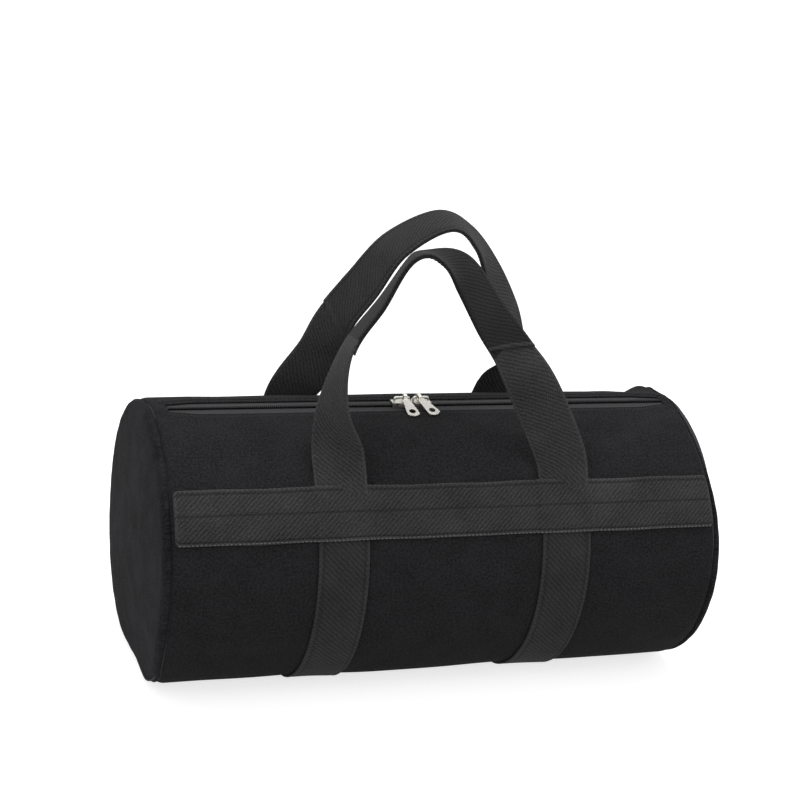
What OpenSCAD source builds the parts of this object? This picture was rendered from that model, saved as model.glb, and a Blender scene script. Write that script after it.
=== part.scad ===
// Canvas tool bag: a stuffed barrel with puffed ends, two girth straps,
// a band of webbing on each side, two twisted webbing handles and a
// zip with two sliders along the top.
// Millimetres. +X runs along the barrel, the front is -Y and +Z is up.
// The origin is on the floor under the middle of the bag.

/* [Barrel] */
// Diameter of the filled canvas barrel
barrel_d = 224; // [180:1:280]
// Length of the barrel between its two end seams
barrel_l = 444; // [340:1:560]
// How much the floor flattens the underside
sag = 7; // [3:0.5:12]
// Thickness of the canvas with its lining
canvas_t = 1.6; // [1:0.1:2.4]

/* [Ends] */
// How far each end panel puffs out from its seam
end_puff = 13; // [11:0.5:20]
// Radius of the turn from the seam into the end panel
end_round = 9; // [5:0.5:10]
// Width of the tape that binds each end seam inside the bag
binding_w = 10; // [6:0.5:16]
// Thickness of that binding
binding_t = 1.2; // [0.8:0.1:2]

/* [Webbing] */
// Width of the girth straps and of the handles
strap_w = 40; // [30:1:50]
// Thickness of the webbing
strap_t = 2; // [1.4:0.1:2.6]
// Distance of each girth strap from the middle of the bag
strap_x = 91; // [70:1:120]
// Width of the band that crosses the straps
band_w = 42; // [30:1:50]
// Height of the band's top edge, as an angle above the horizontal
band_top_angle = 43.9; // [36:0.1:48]
// Gap between each end of a band and the end seam
band_end_gap = 2; // [1:0.5:8]

/* [Handles] */
// Height of a handle's top above its hinge line
handle_rise = 170; // [130:1:200]
// How far the front handle leans in over the bag
front_lean = 28; // [20:1:36]
// How far the rear handle leans in over the bag
rear_lean = 35; // [24:1:36]
// Thickness of the folded edge on which a handle leg turns
root_fold_d = 2.6; // [2.4:0.1:3]

/* [Zip] */
// Width of the opening in the canvas that shows the zip
zip_slot_w = 24; // [20:0.5:30]
// Canvas left between each end of that opening and the end binding
zip_end_seam = 2; // [1:0.5:6]
// Width of each of the two zip tapes
tape_w = 15; // [13:0.5:20]
// Thickness of a zip tape
tape_t = 0.9; // [0.6:0.1:1.2]
// Gap between the two tapes, along which the sliders' necks run
tape_gap = 2.6; // [2.2:0.1:3]
// Width of the closed chain
chain_w = 5.6; // [5:0.1:7]
// Height of the chain above the tape
chain_h = 2.2; // [1.6:0.1:3]
// Distance from one tooth of a coil to the next
tooth_pitch = 2.5; // [2:0.1:4]
// Place along the bag where the two sliders meet
meet_x = -12; // [-40:1:40]
// Gap between the noses of the two sliders
nose_gap = 1.5; // [1:0.1:4]

/* [Sliders] */
// Length of a slider
slider_l = 15.5; // [14:0.1:20]
// Thickness of a slider's plates
plate_t = 1.3; // [1:0.1:1.8]
// Thickness of the side walls that guide the coils
flange_t = 0.95; // [0.7:0.05:1.3]
// Radius of a slider's rounded nose
nose_round = 10; // [8:0.5:14]
// Diameter of the bridge that carries the pull
bridge_d = 1.8; // [1.4:0.1:2.2]
// Bend radius of the bridge's two corners
bridge_bend = 1.3; // [1:0.1:1.6]

/* [Pulls] */
// Length of a pull tab from the bridge to its tip
pull_l = 25; // [20:0.5:30]
// Width of a pull tab at its tip
pull_w = 10; // [8:0.5:13]
// Width of a pull tab where it leaves its eye
pull_neck_w = 6; // [5:0.5:8]
// Thickness of a pull tab
pull_t = 1.3; // [1:0.1:1.6]
// Diameter of the round hole near the tip
pull_hole_d = 5.4; // [3:0.2:6]
// Distance from the bridge to the middle of that hole
pull_hole_at = 19; // [15:0.5:22]
// Diameter of the eye round the bridge
eye_hole_d = 3.6; // [3.2:0.1:4.4]
// Wall of that eye
eye_wall = 1.1; // [0.8:0.1:1.5]
// Width of the eye along the bridge
eye_w = 2.6; // [2:0.1:3.2]
// How steeply the pulls hang down over the front
pull_slope = 16; // [12:0.5:16.5]
// Turn of the left pull from straight forward
left_pull_yaw = 4; // [0:1:20]
// Turn of the right pull from straight forward
right_pull_yaw = 20; // [0:1:22]

/* [Hidden] */
$fn = 96;

// Clear space between pieces that are not one solid
clearance = 0.3;
// Clear space between a flat piece and the tape that it is sewn to
sewn_gap = 0.1;
// How far every cut runs past what it cuts
overrun = 1;

barrel_r = barrel_d / 2;
// Height of the barrel's axis: the girth straps lie between it and the floor
axis_z = strap_t + clearance + barrel_r - sag;
strap_r = barrel_r + clearance;
band_low_r = barrel_r + clearance;
band_high_r = strap_r + strap_t + clearance;
band_mid_r = band_low_r + strap_t / 2;
band_angle = band_w / band_mid_r * 180 / PI;
// Length over which a band climbs onto a girth strap
band_ramp = 2 * strap_t;

// Hinge line of a handle: just past the band's top edge, level with its outer face
hinge_r = band_high_r + strap_t + root_fold_d / 4;
hinge_past_edge = root_fold_d / 2 + clearance / 2;
hinge_angle = band_top_angle + asin(hinge_past_edge / hinge_r);
hinge_y = hinge_r * cos(hinge_angle);
hinge_z = axis_z + hinge_r * sin(hinge_angle);

// Rows of a handle's middle line from its left leg to its right leg:
// across as a share of strap_x, up as a share of handle_rise, in as a share
// of the lean, and the webbing's twist in degrees
front_path_shares = [
    [-1, 0, 0, 0], [-1.03, 0.11, 0.27, 21], [-1.09, 0.33, 0.48, 71], [-1, 0.59, 0.68, 100],
    [-0.74, 0.79, 0.87, 106], [-0.5, 0.99, 0.99, 110], [-0.28, 1, 0.99, 91], [-0.03, 0.93, 0.91, 52],
    [0.24, 0.73, 0.81, 40], [0.47, 0.57, 0.64, 30], [0.72, 0.36, 0.46, -4], [0.96, 0.11, 0.27, -10],
    [1, 0, 0, 0]
];
rear_path_shares = [
    [-1, 0, 0, 0], [-0.96, 0.11, 0.22, 12], [-0.8, 0.28, 0.41, 29], [-0.68, 0.48, 0.66, 62],
    [-0.48, 0.66, 0.86, 67], [-0.23, 0.86, 0.97, 78], [0.19, 0.98, 1, 84], [0.49, 0.89, 0.95, 73],
    [0.74, 0.69, 0.85, 55], [0.97, 0.49, 0.7, 54], [1.09, 0.28, 0.49, 39], [1.03, 0.11, 0.22, 10],
    [1, 0, 0, 0]
];
// Rows between which the two lengths of a handle lie on each other as its grip
grip_rows = [3, 9];
// Rows over which the right length eases off the grip to its own leg
ease_rows = 0.75;
// Cross sections of a strap from one row to the next
steps_per_row = 4;

// Heights above the barrel's axis at the zip
tape_top_r = barrel_r - canvas_t - clearance;
coil_z = tape_top_r + sewn_gap;
plate_z = coil_z + chain_h + clearance;
plate_top_z = plate_z + plate_t;
flange_z = tape_top_r + clearance;
zip_l = barrel_l - 2 * (binding_w + clearance + zip_end_seam);
tape_l = barrel_l - 2 * (binding_w + clearance);
chain_l = zip_l - 2 * clearance;

// One coil: spine along its outer edge, teeth that reach past the middle
coil_half_w = chain_w / 2;
spine_w = chain_w * 0.23;
tooth_reach = chain_w / 8;
tooth_w = tooth_pitch * 0.36;
neck_w = tape_gap - 2 * clearance;
// How far each coil moves out round the necks
part_y = neck_w / 2 + clearance + tooth_reach;
teeth = floor(chain_l / tooth_pitch) - 1;

// Slider stations from its nose, as shares of its length
neck_end_share = 0.25;
shoulder_share = 0.27;
waist_share = 0.66;
neck_at = neck_w / 2 + flange_t;
nose_half = coil_half_w + part_y + clearance + flange_t;
tail_half = coil_half_w + clearance + flange_t;
// Where the rounded nose reaches the slider's full width
nose_depth = nose_round - sqrt(nose_round * nose_round - nose_half * nose_half);
// The bottom plate lies below the curved tapes
under_tape_r = tape_top_r - tape_t;
bottom_plate_top_z = sqrt(under_tape_r * under_tape_r - nose_half * nose_half) - clearance;

eye_r = eye_hole_d / 2 + eye_wall;
// How far down the eye reaches as it turns, with its axis turned by the larger yaw
eye_reach = eye_r * cos(right_pull_yaw) + eye_w / 2 * sin(right_pull_yaw);
bridge_z = plate_top_z + eye_reach + clearance;
// The bridge's posts stand in from the nose and the tail, and the eye sits by the front post
post_in = bridge_d / 2 + clearance;
tail_post_in = slider_l * 0.14;
eye_at = post_in + bridge_bend + clearance + eye_w / 2 + eye_r * sin(right_pull_yaw);

// A disc whose underside is flattened as the bag's is
module sagged_disc(r) {
    intersection() {
        circle(r);
        translate([-r, sag - r])
            square(2 * r);
    }
}

// Turns a profile drawn in Y and Z into a bar along X, level with the barrel's axis
module along_x(length) {
    translate([0, 0, axis_z])
        rotate([90, 0, 90])
            linear_extrude(length, center = true)
                children();
}

module sagged_ring(outer_r, inner_r) {
    difference() {
        sagged_disc(outer_r);
        sagged_disc(inner_r);
    }
}

module barrel_panel() {
    color("#212123")
        difference() {
            along_x(barrel_l)
                sagged_ring(barrel_r, barrel_r - canvas_t);
            translate([-zip_l / 2, -zip_slot_w / 2, axis_z])
                cube([zip_l, zip_slot_w, barrel_r + overrun]);
        }
}

// Half profile of a puffed disc: a turn at the rim that runs into a shallow dome
module puff_profile(r, puff, turn) {
    turn_x = r - turn;
    dome_r = (turn_x * turn_x + puff * puff - turn * turn) / (2 * (puff - turn));
    meet_share = dome_r / (dome_r - turn);
    intersection() {
        translate([0, puff - dome_r])
            circle(dome_r, $fn = 360);
        square([turn_x * meet_share, puff]);
    }
    intersection() {
        translate([turn_x, 0])
            circle(turn);
        square([r, turn]);
    }
}

module puffed_disc(r, puff, turn, depth) {
    intersection() {
        union() {
            rotate([0, 90, 0])
                rotate_extrude()
                    puff_profile(r, puff, turn);
            if (depth > 0)
                translate([-depth, 0, 0])
                    rotate([0, 90, 0])
                        cylinder(r = r, h = depth);
        }
        translate([-depth - overrun, -r - overrun, sag - r])
            cube([puff + depth + 2 * overrun, 2 * (r + overrun), 2 * r]);
    }
}

module end_panel() {
    color("#2c2c2e")
        translate([barrel_l / 2, 0, axis_z])
            difference() {
                puffed_disc(barrel_r, end_puff, end_round, 0);
                puffed_disc(barrel_r - canvas_t, end_puff - canvas_t, end_round - canvas_t, overrun);
            }
}

module right_end_panel() {
    end_panel();
}

module left_end_panel() {
    mirror([1, 0, 0])
        end_panel();
}

// Tape folded round the raw edges of an end seam, on the inside of the barrel
module end_binding() {
    outer_r = barrel_r - canvas_t - clearance;
    color("#3a3a3c")
        translate([(barrel_l - binding_w) / 2, 0, 0])
            along_x(binding_w)
                sagged_ring(outer_r, outer_r - binding_t);
}

module right_end_binding() {
    end_binding();
}

module left_end_binding() {
    mirror([1, 0, 0])
        end_binding();
}

// Middle of the webbing, as radius and place along X: it rises where it crosses a girth strap
function band_steps() =
    let (reach = strap_w / 2 + clearance)
    [
        for (middle = [-strap_x, strap_x])
            for (step = [
                [band_low_r, -reach - band_ramp], [band_high_r, -reach],
                [band_high_r, reach], [band_low_r, reach + band_ramp]
            ])
                [step[0], middle + step[1]]
    ];

// Webbing along the side of the bag, turned about the barrel's axis
module band() {
    half_l = barrel_l / 2 - band_end_gap;
    inner = concat([[band_low_r, -half_l]], band_steps(), [[band_low_r, half_l]]);
    last = len(inner) - 1;
    outer = [for (i = [0 : last]) inner[last - i] + [strap_t, 0]];
    color("#353536")
        translate([0, 0, axis_z])
            rotate([90, 0, 90])
                rotate([0, 0, 180 - band_top_angle])
                    rotate_extrude(angle = band_angle)
                        polygon(concat(inner, outer));
}

module front_band() {
    band();
}

module rear_band() {
    mirror([0, 1, 0])
        band();
}

// Webbing from the front band's top edge under the barrel to the rear band's
module girth_strap() {
    far = 2 * barrel_r;
    across = far * cos(band_top_angle);
    up = far * sin(band_top_angle);
    color("#2e2e2f")
        along_x(strap_w)
            difference() {
                sagged_ring(strap_r + strap_t, strap_r);
                polygon([[0, 0], [-across, up], [-across, 2 * up], [across, 2 * up], [across, up]]);
            }
}

module left_girth_strap() {
    translate([-strap_x, 0, 0])
        girth_strap();
}

module right_girth_strap() {
    translate([strap_x, 0, 0])
        girth_strap();
}

// One half of the zip's tape, under the edge of the canvas
module zip_tape() {
    color("#1c1c1e")
        along_x(tape_l)
            intersection() {
                difference() {
                    circle(tape_top_r);
                    circle(tape_top_r - tape_t);
                }
                translate([-tape_gap / 2 - tape_w, 0])
                    square([tape_w, barrel_r]);
            }
}

module front_zip_tape() {
    zip_tape();
}

module rear_zip_tape() {
    mirror([0, 1, 0])
        zip_tape();
}

// How far a coil is pushed out at x, full round the necks and none past the sliders' waists
function part_at(x) =
    let (past = abs(x - meet_x) - nose_gap / 2 - slider_l * shoulder_share)
    part_y * min(1, max(0, 1 - past / (slider_l * (waist_share - shoulder_share))));

// Outline of the front coil: its teeth from left to right, then its outer edge back
function coil_outline(shift) =
    let (first = meet_x + shift + tooth_pitch * ceil((-chain_l / 2 - meet_x) / tooth_pitch + 0.5))
    let (xs = [for (i = [0 : teeth - 1]) first + i * tooth_pitch])
    let (root = spine_w - coil_half_w)
    concat(
        [
            for (x = xs)
                for (corner = [[-1, root], [-1, tooth_reach], [1, tooth_reach], [1, root]])
                    [x + corner[0] * tooth_w / 2, corner[1] - part_at(x)]
        ],
        [for (i = [1 : teeth]) [xs[teeth - i], -coil_half_w - part_at(xs[teeth - i])]]
    );

module zip_coil(shift) {
    color("#161617")
        translate([0, 0, axis_z + coil_z])
            linear_extrude(chain_h)
                polygon(coil_outline(shift));
}

module front_zip_coil() {
    zip_coil(-tooth_pitch / 4);
}

module rear_zip_coil() {
    mirror([0, 1, 0])
        zip_coil(tooth_pitch / 4);
}

// Outline of a slider from its nose at the origin towards +X, its sides moved in by inset
module slider_outline(inset) {
    shoulder = slider_l * shoulder_share;
    waist = slider_l * waist_share;
    wide = nose_half - inset;
    narrow = tail_half - inset;
    polygon([
        [-inset, -wide], [shoulder, -wide], [waist, -narrow], [slider_l + inset, -narrow],
        [slider_l + inset, narrow], [waist, narrow], [shoulder, wide], [-inset, wide]
    ]);
}

module slider_plate(thickness) {
    linear_extrude(thickness)
        intersection() {
            slider_outline(0);
            translate([nose_round, 0])
                circle(nose_round);
        }
    linear_extrude(thickness)
        intersection() {
            slider_outline(0);
            translate([nose_round, -nose_half])
                square([slider_l, 2 * nose_half]);
        }
}

// Round bar from post to post, over a top plate whose top is at the origin's height
module bridge() {
    rise = bridge_z - plate_top_z - bridge_bend;
    far_post = slider_l - tail_post_in;
    for (post = [[post_in, 0], [far_post, 180]])
        translate([post[0], 0, 0])
            rotate([0, 0, post[1]]) {
                translate([0, 0, -plate_t / 2])
                    cylinder(d = bridge_d, h = rise + plate_t / 2);
                translate([bridge_bend, 0, rise])
                    rotate([90, 0, 0])
                        rotate([0, 0, 90])
                            rotate_extrude(angle = 90)
                                translate([bridge_bend, 0])
                                    circle(d = bridge_d);
            }
    translate([post_in + bridge_bend, 0, rise + bridge_bend])
        rotate([0, 90, 0])
            cylinder(d = bridge_d, h = far_post - post_in - 2 * bridge_bend);
}

// A slider whose nose is at the origin and whose tail points to +X
module slider() {
    color("#c9c8c2")
        translate([0, 0, axis_z]) {
            translate([0, 0, plate_z])
                slider_plate(plate_t);
            translate([0, 0, bottom_plate_top_z - plate_t])
                slider_plate(plate_t);
            translate([0, 0, flange_z])
                linear_extrude(plate_z - flange_z + plate_t / 2)
                    difference() {
                        intersection() {
                            slider_outline(0);
                            translate([nose_depth, -nose_half])
                                square([slider_l - nose_depth, 2 * nose_half]);
                        }
                        slider_outline(flange_t);
                    }
            translate([0, 0, bottom_plate_top_z - plate_t / 2])
                linear_extrude(plate_z - bottom_plate_top_z + plate_t) {
                    translate([neck_at, 0])
                        circle(d = neck_w);
                    polygon([
                        [neck_at, -neck_w / 2], [slider_l * neck_end_share, 0], [neck_at, neck_w / 2]
                    ]);
                }
            translate([0, 0, plate_top_z])
                bridge();
        }
}

module right_slider() {
    translate([meet_x + nose_gap / 2, 0, 0])
        slider();
}

module left_slider() {
    translate([meet_x - nose_gap / 2, 0, 0])
        mirror([1, 0, 0])
            slider();
}

// A pull tab that hangs towards -Y from a bridge along X at the origin
module pull_tab(yaw) {
    root_y = (eye_hole_d / 2 + eye_r) / 2;
    tip_round = pull_w * 0.62;
    color("#d2d1cb")
        rotate([pull_slope, 0, 0])
            rotate([0, 0, yaw])
                difference() {
                    union() {
                        rotate([0, 90, 0])
                            cylinder(r = eye_r, h = eye_w, center = true);
                        linear_extrude(pull_t, center = true)
                            intersection() {
                                polygon([
                                    [-eye_w / 2, -root_y], [-pull_neck_w / 2, -eye_r - eye_wall],
                                    [-pull_w / 2, -pull_hole_at], [-pull_w / 2, -pull_l],
                                    [pull_w / 2, -pull_l], [pull_w / 2, -pull_hole_at],
                                    [pull_neck_w / 2, -eye_r - eye_wall], [eye_w / 2, -root_y]
                                ]);
                                union() {
                                    translate([0, tip_round - pull_l])
                                        circle(tip_round);
                                    translate([-pull_w / 2, tip_round - pull_l])
                                        square([pull_w, pull_l]);
                                }
                            }
                    }
                    rotate([0, 90, 0])
                        cylinder(d = eye_hole_d, h = eye_w + 2 * overrun, center = true);
                    translate([0, -pull_hole_at, 0])
                        cylinder(d = pull_hole_d, h = pull_t + 2 * overrun, center = true);
                }
}

module left_pull_tab() {
    translate([meet_x - nose_gap / 2 - eye_at, 0, axis_z + bridge_z])
        pull_tab(left_pull_yaw);
}

module right_pull_tab() {
    translate([meet_x + nose_gap / 2 + eye_at, 0, axis_z + bridge_z])
        pull_tab(right_pull_yaw);
}

function unit(v) = v / norm(v);

// Row past the end of a path that keeps the end square to the hinge
function row_beyond(end, next) = [next[0], 2 * end[1] - next[1], 2 * end[2] - next[2], -next[3]];

// Rows of a path in millimetres
function path_rows(shares, side, lean) =
    let (rows = [
        for (row = shares)
            [row[0] * strap_x, side * (hinge_y - row[2] * lean), hinge_z + row[1] * handle_rise, row[3]]
    ])
    let (last = len(rows) - 1)
    concat([row_beyond(rows[0], rows[1])], rows, [row_beyond(rows[last], rows[last - 1])]);

// Smooth curve through the rows, and its direction, at row number at
function curve_at(rows, at) =
    let (i = min(floor(at), len(rows) - 4))
    let (t = at - i)
    let (a = rows[i])
    let (b = rows[i + 1])
    let (c = rows[i + 2])
    let (d = rows[i + 3])
    (2 * b + (c - a) * t + (2 * a - 5 * b + 4 * c - d) * t * t + (3 * b - a - 3 * c + d) * t * t * t) / 2;

function direction_at(rows, at) =
    let (i = min(floor(at), len(rows) - 4))
    let (t = at - i)
    let (a = rows[i])
    let (b = rows[i + 1])
    let (c = rows[i + 2])
    let (d = rows[i + 3])
    let (v = c - a + 2 * (2 * a - 5 * b + 4 * c - d) * t + 3 * (3 * b - a - 3 * c + d) * t * t)
    unit([v[0], v[1], v[2]]);

// Four corners of the webbing at row number at, moved off its middle by lift along its face
function strap_ring(rows, at, lift) =
    let (p = curve_at(rows, at))
    let (along = direction_at(rows, at))
    let (level = unit([0, 1, 0] - along[1] * along))
    let (flat = cross(along, level))
    let (across = cos(p[3]) * flat + sin(p[3]) * level)
    let (face = cross(along, across))
    let (middle = [p[0], p[1], p[2]] + lift * face)
    [
        for (corner = [[1, 1], [-1, 1], [-1, -1], [1, -1]])
            middle + corner[0] * strap_w / 2 * across + corner[1] * strap_t / 2 * face
    ];

// Share of its lift that a length keeps at a row: all of it on the grip, none past the next row
function lift_share(at) = max(0, min(1, (grip_rows[1] + 1 - at) / ease_rows));

module strap_sweep(rows, from_row, to_row, lift) {
    steps = round((to_row - from_row) * steps_per_row);
    rings = [
        for (i = [0 : steps])
            let (at = from_row + i / steps_per_row)
            strap_ring(rows, at, lift * lift_share(at))
    ];
    points = [for (ring = rings) each ring];
    // Both faces of the webbing are split along the same diagonals, so it keeps its thickness
    sides = [
        for (i = [0 : steps - 1])
            for (k = [0 : 3])
                let (a = 4 * i + k)
                let (b = 4 * i + (k + 1) % 4)
                each k < 2
                    ? [[a, b + 4, b], [a, a + 4, b + 4]]
                    : [[a, a + 4, b], [b, a + 4, b + 4]]
    ];
    last = 4 * steps;
    ends = [[0, 1, 2], [0, 2, 3], [last, last + 2, last + 1], [last, last + 3, last + 2]];
    polyhedron(points, concat(sides, ends));
}

// Each handle is two lengths of webbing, with a folded edge at the foot. They are sewn on each other
// along the grip, where the left leg's length lies outside and the right leg's length inside.
module handle_length(shares, side, lean, from_row, to_row, lift, foot) {
    color("#2f2f30") {
        strap_sweep(path_rows(shares, side, lean), from_row, to_row, lift);
        translate([foot * strap_x, side * hinge_y, hinge_z])
            rotate([0, 90, 0])
                cylinder(d = root_fold_d, h = strap_w - 2 * clearance, center = true);
    }
}

module left_length(shares, side, lean) {
    handle_length(shares, side, lean, 0, grip_rows[1], 0, -1);
}

module right_length(shares, side, lean) {
    handle_length(shares, side, lean, grip_rows[0], len(shares) - 1, side * (strap_t + clearance), 1);
}

module front_handle_left() {
    left_length(front_path_shares, -1, front_lean);
}

module front_handle_right() {
    right_length(front_path_shares, -1, front_lean);
}

module rear_handle_left() {
    left_length(rear_path_shares, 1, rear_lean);
}

module rear_handle_right() {
    right_length(rear_path_shares, 1, rear_lean);
}

barrel_panel();
left_end_panel();
right_end_panel();
left_end_binding();
right_end_binding();
front_band();
rear_band();
left_girth_strap();
right_girth_strap();
front_zip_tape();
rear_zip_tape();
front_zip_coil();
rear_zip_coil();
left_slider();
right_slider();
left_pull_tab();
right_pull_tab();
front_handle_left();
front_handle_right();
rear_handle_left();
rear_handle_right();
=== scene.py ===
import math

import bpy
import numpy as np
from mathutils import Matrix, Vector


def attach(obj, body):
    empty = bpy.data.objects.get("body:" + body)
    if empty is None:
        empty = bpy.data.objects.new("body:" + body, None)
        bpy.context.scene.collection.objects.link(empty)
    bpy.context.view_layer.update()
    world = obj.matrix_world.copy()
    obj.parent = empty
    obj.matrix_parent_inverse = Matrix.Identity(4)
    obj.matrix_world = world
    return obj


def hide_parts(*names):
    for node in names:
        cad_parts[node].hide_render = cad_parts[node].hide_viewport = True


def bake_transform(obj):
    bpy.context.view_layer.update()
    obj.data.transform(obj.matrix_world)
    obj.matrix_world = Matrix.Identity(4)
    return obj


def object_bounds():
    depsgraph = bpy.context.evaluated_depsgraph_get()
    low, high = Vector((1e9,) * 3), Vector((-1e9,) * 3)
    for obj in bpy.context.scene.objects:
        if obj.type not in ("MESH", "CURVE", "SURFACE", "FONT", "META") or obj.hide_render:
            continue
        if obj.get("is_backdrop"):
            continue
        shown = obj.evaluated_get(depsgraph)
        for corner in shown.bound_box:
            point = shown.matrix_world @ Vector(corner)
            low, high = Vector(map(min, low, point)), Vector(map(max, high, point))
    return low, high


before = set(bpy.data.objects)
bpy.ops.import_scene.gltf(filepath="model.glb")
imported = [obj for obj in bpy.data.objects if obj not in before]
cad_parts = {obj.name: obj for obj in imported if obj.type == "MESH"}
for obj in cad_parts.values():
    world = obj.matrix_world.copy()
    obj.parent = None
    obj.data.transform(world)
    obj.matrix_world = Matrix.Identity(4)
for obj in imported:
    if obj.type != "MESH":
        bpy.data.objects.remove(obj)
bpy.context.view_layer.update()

# ---- Camera ----
# The bag is seen from its front left and a little above, with the camera tilted by a few degrees.
# Lengths here are millimetres, and every mesh is turned to metres as it is made.
AXIS_HEIGHT = 107.3
CAMERA_AIM, CAMERA_DISTANCE = (-21.3, 0, AXIS_HEIGHT + 115.1), 1524.3
SENSOR_W, FOCAL_PIXELS, PICTURE_PIXELS = 36, 1911, 800
yaw, elevation, roll = (math.radians(a) for a in (20.36, 20.79, 6.65))
forward = Vector((math.sin(yaw) * math.cos(elevation), math.cos(yaw) * math.cos(elevation), -math.sin(elevation)))
level_right = Vector((math.cos(yaw), -math.sin(yaw), 0))
level_up = level_right.cross(forward)
right = level_right * math.cos(roll) + level_up * math.sin(roll)
up = level_up * math.cos(roll) - level_right * math.sin(roll)
eye = Vector(CAMERA_AIM) - forward * CAMERA_DISTANCE
camera = bpy.data.objects.new("camera", bpy.data.cameras.new("camera"))
bpy.context.collection.objects.link(camera)
camera.matrix_world = Matrix.Translation(eye / 1000) @ Matrix((right, up, -forward)).transposed().to_4x4()
camera.data.sensor_width = SENSOR_W
camera.data.lens = FOCAL_PIXELS / PICTURE_PIXELS * SENSOR_W
camera.data.clip_start, camera.data.clip_end = 0.05, 200
bpy.context.scene.camera = camera
bpy.context.scene.view_settings.view_transform = "Standard"


def linear(hex_colour):
    """An sRGB hex colour as linear red, green, blue and alpha."""
    parts = [int(hex_colour[i : i + 2], 16) / 255 for i in (1, 3, 5)]
    return tuple(p / 12.92 if p <= 0.04045 else ((p + 0.055) / 1.055) ** 2.4 for p in parts) + (1,)


def add(tree, kind, inputs=None, **settings):
    """Adds a node to a tree with its settings, and links or fills its inputs."""
    node = tree.nodes.new(kind)
    for name, value in settings.items():
        setattr(node, name, value)
    for name, value in (inputs or {}).items():
        if isinstance(value, bpy.types.NodeSocket):
            tree.links.new(value, node.inputs[name])
        else:
            node.inputs[name].default_value = value
    return node


def new_material(name):
    """An empty node material, with its tree."""
    made = bpy.data.materials.new(name)
    made.use_nodes = True
    made.node_tree.nodes.clear()
    return made, made.node_tree


# ---- Floor and light ----
# A matt white floor and a white surround, with big soft lamps above, at the left and at the right.
# The floor adds white for the camera alone, so that only the bag's soft shadow is left on it.
FLOOR_REACH, FLOOR_GREY, FLOOR_GLOW = 30, 0.62, 0.74
AIR_LIGHT, AIR_GLOW = 0.45, 0.55


def maths(tree, operation, *values):
    """The result of one math node on numbers or sockets."""
    return add(tree, "ShaderNodeMath", dict(enumerate(values)), operation=operation).outputs[0]


def seen_directly(tree):
    """1 for rays from the camera or off a shiny face, and 0 for the rays that carry light to things."""
    ray = add(tree, "ShaderNodeLightPath")
    return maths(tree, "MAXIMUM", ray.outputs["Is Camera Ray"], ray.outputs["Is Glossy Ray"])


floor_mesh = bpy.data.meshes.new("floor")
corners = [(x * FLOOR_REACH, y * FLOOR_REACH, 0) for x, y in ((-1, -1), (1, -1), (1, 1), (-1, 1))]
floor_mesh.from_pydata(corners, [], [(0, 1, 2, 3)])
floor = bpy.data.objects.new("floor", floor_mesh)
bpy.context.collection.objects.link(floor)
floor_paint, tree = new_material("floor_paint")
matt = add(tree, "ShaderNodeBsdfDiffuse", {"Color": (FLOOR_GREY, FLOOR_GREY, FLOOR_GREY, 1)})
glow = maths(tree, "MULTIPLY", seen_directly(tree), FLOOR_GLOW)
white = add(tree, "ShaderNodeEmission", {"Color": (1, 1, 1, 1), "Strength": glow})
both = add(tree, "ShaderNodeAddShader", {0: matt.outputs[0], 1: white.outputs[0]})
add(tree, "ShaderNodeOutputMaterial", {"Surface": both.outputs[0]})
floor_mesh.materials.append(floor_paint)
floor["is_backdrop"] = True

world = bpy.data.worlds.new("surround")
bpy.context.scene.world = world
world.use_nodes = True
tree = world.node_tree
tree.nodes.clear()
strength = maths(tree, "MULTIPLY_ADD", seen_directly(tree), AIR_GLOW, AIR_LIGHT)
air = add(tree, "ShaderNodeBackground", {"Color": (1, 1, 1, 1), "Strength": strength})
add(tree, "ShaderNodeOutputWorld", {"Surface": air.outputs[0]})

for name, place, size, power in (
    ("left_lamp", (-1.5, -1.1, 1.5), 1.3, 14),
    ("right_lamp", (1.6, -1.3, 1.3), 1.2, 10),
    ("top_lamp", (0.1, 0.3, 2.1), 1.6, 28),
):
    lamp = bpy.data.lights.new(name, "AREA")
    lamp.size, lamp.energy = size, power
    lamp_object = bpy.data.objects.new(name, lamp)
    bpy.context.collection.objects.link(lamp_object)
    lamp_object.location = place
    lamp_object.rotation_euler = (Vector((0, 0, 0.12)) - Vector(place)).to_track_quat("-Z", "Y").to_euler()

# ---- Barrel ----
# One cloth of black cotton duck, a thick plain weave, wrapped round the stuffing and sewn to itself along
# the zip, where both edges are folded under and topstitched. It sags flat where the bag lies on the floor.
BARREL_R, BARREL_HALF, SAG, CANVAS_T = 112.0, 222.0, 7.0, 1.6
DEGREE = BARREL_R * math.pi / 180  # length of one degree round the barrel
SLOT_HALF_W, SLOT_HALF_L = 12.0, 209.7
# Where the slot starts to narrow towards its ends, and by what share
SLOT_TAPER_FROM, SLOT_TAPER = 184, 0.34
HEM, HEM_SWELL = 3.2, 7
SEAM_ROLL, SEAM_DEPTH = 6.0, 3.0
# Where the bag touches the floor its side turns over this radius
FLOOR_ROUND = 1.6
# Degrees from the zip within which the cloth is held level, and over which that fades
ZIP_LEVEL, ZIP_FADE = 12, 16
# Where the two girth straps press the barrel in
STRAP_X = 91.0
# Soft rises and dents of the stuffed cloth: along the bag, round it from the front over the top,
# reach each way, and height
SOFT_DENTS = (
    (-150, 20, 55, 30, 1.2), (-20, 300, 60, 26, 1.4), (150, 15, 50, 28, 1.3), (-165, -25, 40, 22, -1.0),
    (20, 12, 45, 24, -0.9), (150, -40, 46, 26, 1.2), (-40, 60, 60, 16, 0.9), (172, 56, 26, 12, 1.3),
    (150, 66, 22, 8, -1.0), (-150, 62, 36, 12, -0.9), (-60, 200, 60, 30, 1.2), (120, 170, 50, 30, -1.1),
    (40, 235, 60, 30, 1.2), (-160, 160, 45, 26, 1.1), (215, 113, 9, 18, 4.6), (196, 113, 10, 18, -4.0),
)
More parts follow.
